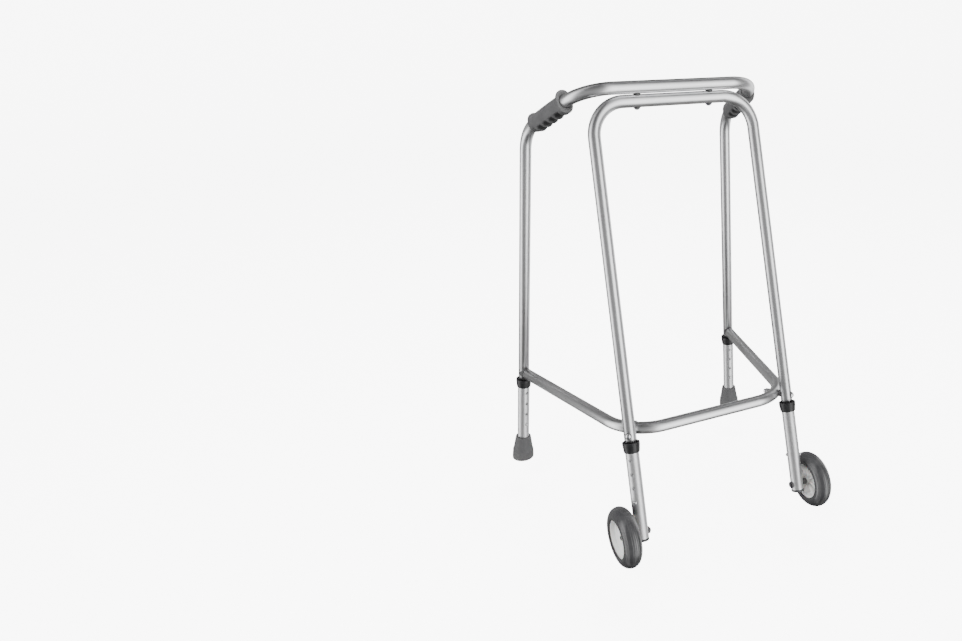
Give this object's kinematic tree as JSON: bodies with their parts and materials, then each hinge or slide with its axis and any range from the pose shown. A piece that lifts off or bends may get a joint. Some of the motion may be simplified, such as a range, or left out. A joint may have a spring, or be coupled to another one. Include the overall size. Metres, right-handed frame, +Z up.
{
  "type": "walking frame",
  "caption": "Wheeled walking frame of bent aluminium tube with sloping hand grips, adjustable leg extensions, front wheels and rear rubber feet.",
  "frame": {"origin": "on the floor, under the middle of the bounding box", "axes": "+Z up, -Y the way the frame rolls forward, +X to the user's right"},
  "size_m": [0.5786, 0.499, 0.8121],
  "materials": {
    "tube_aluminium": "satin anodised",
    "grip_vinyl": "matt, lightly grained",
    "ferrule_rubber": "matt",
    "tyre_rubber": "satin moulded",
    "hub_plastic": "satin moulded",
    "black_plastic": "satin moulded",
    "bush_nylon": "satin",
    "bright_steel": "bright plated",
    "spring_steel": "dull"
  },
  "bodies": {
    "frame": {"brace_bolts": "bright_steel", "brace_end_plugs": "black_plastic", "brace_nuts": "bright_steel", "brace_saddles": "black_plastic", "brace_tube": "tube_aluminium", "brace_washers": "black_plastic", "crossbar_bolts": "bright_steel", "crossbar_inserts": "bright_steel", "crossbar_saddles": "black_plastic", "crossbar_washers": "black_plastic", "front_tube": "tube_aluminium", "grip_left": "grip_vinyl", "grip_right": "grip_vinyl", "rear_bolts": "bright_steel", "rear_washers": "black_plastic", "snap_spring_front_left": "spring_steel", "snap_spring_front_right": "spring_steel", "snap_spring_rear_left": "spring_steel", "snap_spring_rear_right": "spring_steel", "top_tube": "tube_aluminium"},
    "extension_front_left": {"sleeve_front_left": "tube_aluminium", "collar_front_left": "black_plastic", "end_plug_left": "black_plastic", "axle_saddle_left": "black_plastic", "axle_spacer_left": "black_plastic", "axle_bolt_left": "bright_steel", "axle_nut_left": "bright_steel"},
    "button_front_left_a": {"snap_button_front_left_a": "bright_steel"},
    "button_front_left_b": {"snap_button_front_left_b": "bright_steel"},
    "extension_rear_left": {"sleeve_rear_left": "tube_aluminium", "collar_rear_left": "black_plastic", "ferrule_left": "ferrule_rubber"},
    "button_rear_left_a": {"snap_button_rear_left_a": "bright_steel"},
    "button_rear_left_b": {"snap_button_rear_left_b": "bright_steel"},
    "wheel_left": {"hub_left": "hub_plastic", "bush_left": "bush_nylon", "tyre_left": "tyre_rubber"},
    "extension_front_right": {"sleeve_front_right": "tube_aluminium", "collar_front_right": "black_plastic", "end_plug_right": "black_plastic", "axle_saddle_right": "black_plastic", "axle_spacer_right": "black_plastic", "axle_bolt_right": "bright_steel", "axle_nut_right": "bright_steel"},
    "button_front_right_a": {"snap_button_front_right_a": "bright_steel"},
    "button_front_right_b": {"snap_button_front_right_b": "bright_steel"},
    "extension_rear_right": {"sleeve_rear_right": "tube_aluminium", "collar_rear_right": "black_plastic", "ferrule_right": "ferrule_rubber"},
    "button_rear_right_a": {"snap_button_rear_right_a": "bright_steel"},
    "button_rear_right_b": {"snap_button_rear_right_b": "bright_steel"},
    "wheel_right": {"hub_right": "hub_plastic", "bush_right": "bush_nylon", "tyre_right": "tyre_rubber"}
  },
  "joints": [
    {"name": "extend_front_left", "type": "slide", "parent": "frame", "child": "extension_front_left", "axis": [-0.016, -0.2846, -0.9585], "range_m": [0, 0.0762], "deforming": ["snap_button_front_left_a", "snap_button_front_left_b"]},
    {"name": "press_front_left_a", "type": "slide", "parent": "frame", "child": "button_front_left_a", "axis": [0.7202, 0.6617, -0.2085], "range_m": [0, 0.0041], "stiffness_N_per_m": 2500, "springref_m": -0.0012, "deforming": ["snap_spring_front_left"]},
    {"name": "press_front_left_b", "type": "slide", "parent": "frame", "child": "button_front_left_b", "axis": [-0.7202, -0.6617, 0.2085], "range_m": [0, 0.0041], "stiffness_N_per_m": 2500, "springref_m": -0.0012},
    {"name": "extend_rear_left", "type": "slide", "parent": "frame", "child": "extension_rear_left", "axis": [-0.0691, 0.026, -0.9973], "range_m": [0, 0.0762], "deforming": ["snap_button_rear_left_a", "snap_button_rear_left_b"]},
    {"name": "press_rear_left_a", "type": "slide", "parent": "frame", "child": "button_rear_left_a", "axis": [-0.2729, 0.961, 0.044], "range_m": [0, 0.0041], "stiffness_N_per_m": 2500, "springref_m": -0.0012, "deforming": ["snap_spring_rear_left"]},
    {"name": "press_rear_left_b", "type": "slide", "parent": "frame", "child": "button_rear_left_b", "axis": [0.2729, -0.961, -0.044], "range_m": [0, 0.0041], "stiffness_N_per_m": 2500, "springref_m": -0.0012},
    {"name": "roll_left", "type": "hinge", "parent": "extension_front_left", "child": "wheel_left", "pos_m": [-0.20278, -0.19454, 0.055], "axis": [1, 0, 0], "continuous": true},
    {"name": "extend_front_right", "type": "slide", "parent": "frame", "child": "extension_front_right", "axis": [0.016, -0.2846, -0.9585], "range_m": [0, 0.0762], "deforming": ["snap_button_front_right_a", "snap_button_front_right_b"]},
    {"name": "press_front_right_a", "type": "slide", "parent": "frame", "child": "button_front_right_a", "axis": [-0.7202, 0.6617, -0.2085], "range_m": [0, 0.0041], "stiffness_N_per_m": 2500, "springref_m": -0.0012, "deforming": ["snap_spring_front_right"]},
    {"name": "press_front_right_b", "type": "slide", "parent": "frame", "child": "button_front_right_b", "axis": [0.7202, -0.6617, 0.2085], "range_m": [0, 0.0041], "stiffness_N_per_m": 2500, "springref_m": -0.0012},
    {"name": "extend_rear_right", "type": "slide", "parent": "frame", "child": "extension_rear_right", "axis": [0.0691, 0.026, -0.9973], "range_m": [0, 0.0762], "deforming": ["snap_button_rear_right_a", "snap_button_rear_right_b"]},
    {"name": "press_rear_right_a", "type": "slide", "parent": "frame", "child": "button_rear_right_a", "axis": [0.2729, 0.961, 0.044], "range_m": [0, 0.0041], "stiffness_N_per_m": 2500, "springref_m": -0.0012, "deforming": ["snap_spring_rear_right"]},
    {"name": "press_rear_right_b", "type": "slide", "parent": "frame", "child": "button_rear_right_b", "axis": [-0.2729, -0.961, -0.044], "range_m": [0, 0.0041], "stiffness_N_per_m": 2500, "springref_m": -0.0012},
    {"name": "roll_right", "type": "hinge", "parent": "extension_front_right", "child": "wheel_right", "pos_m": [0.20278, -0.19454, 0.055], "axis": [1, 0, 0], "continuous": true}
  ]
}
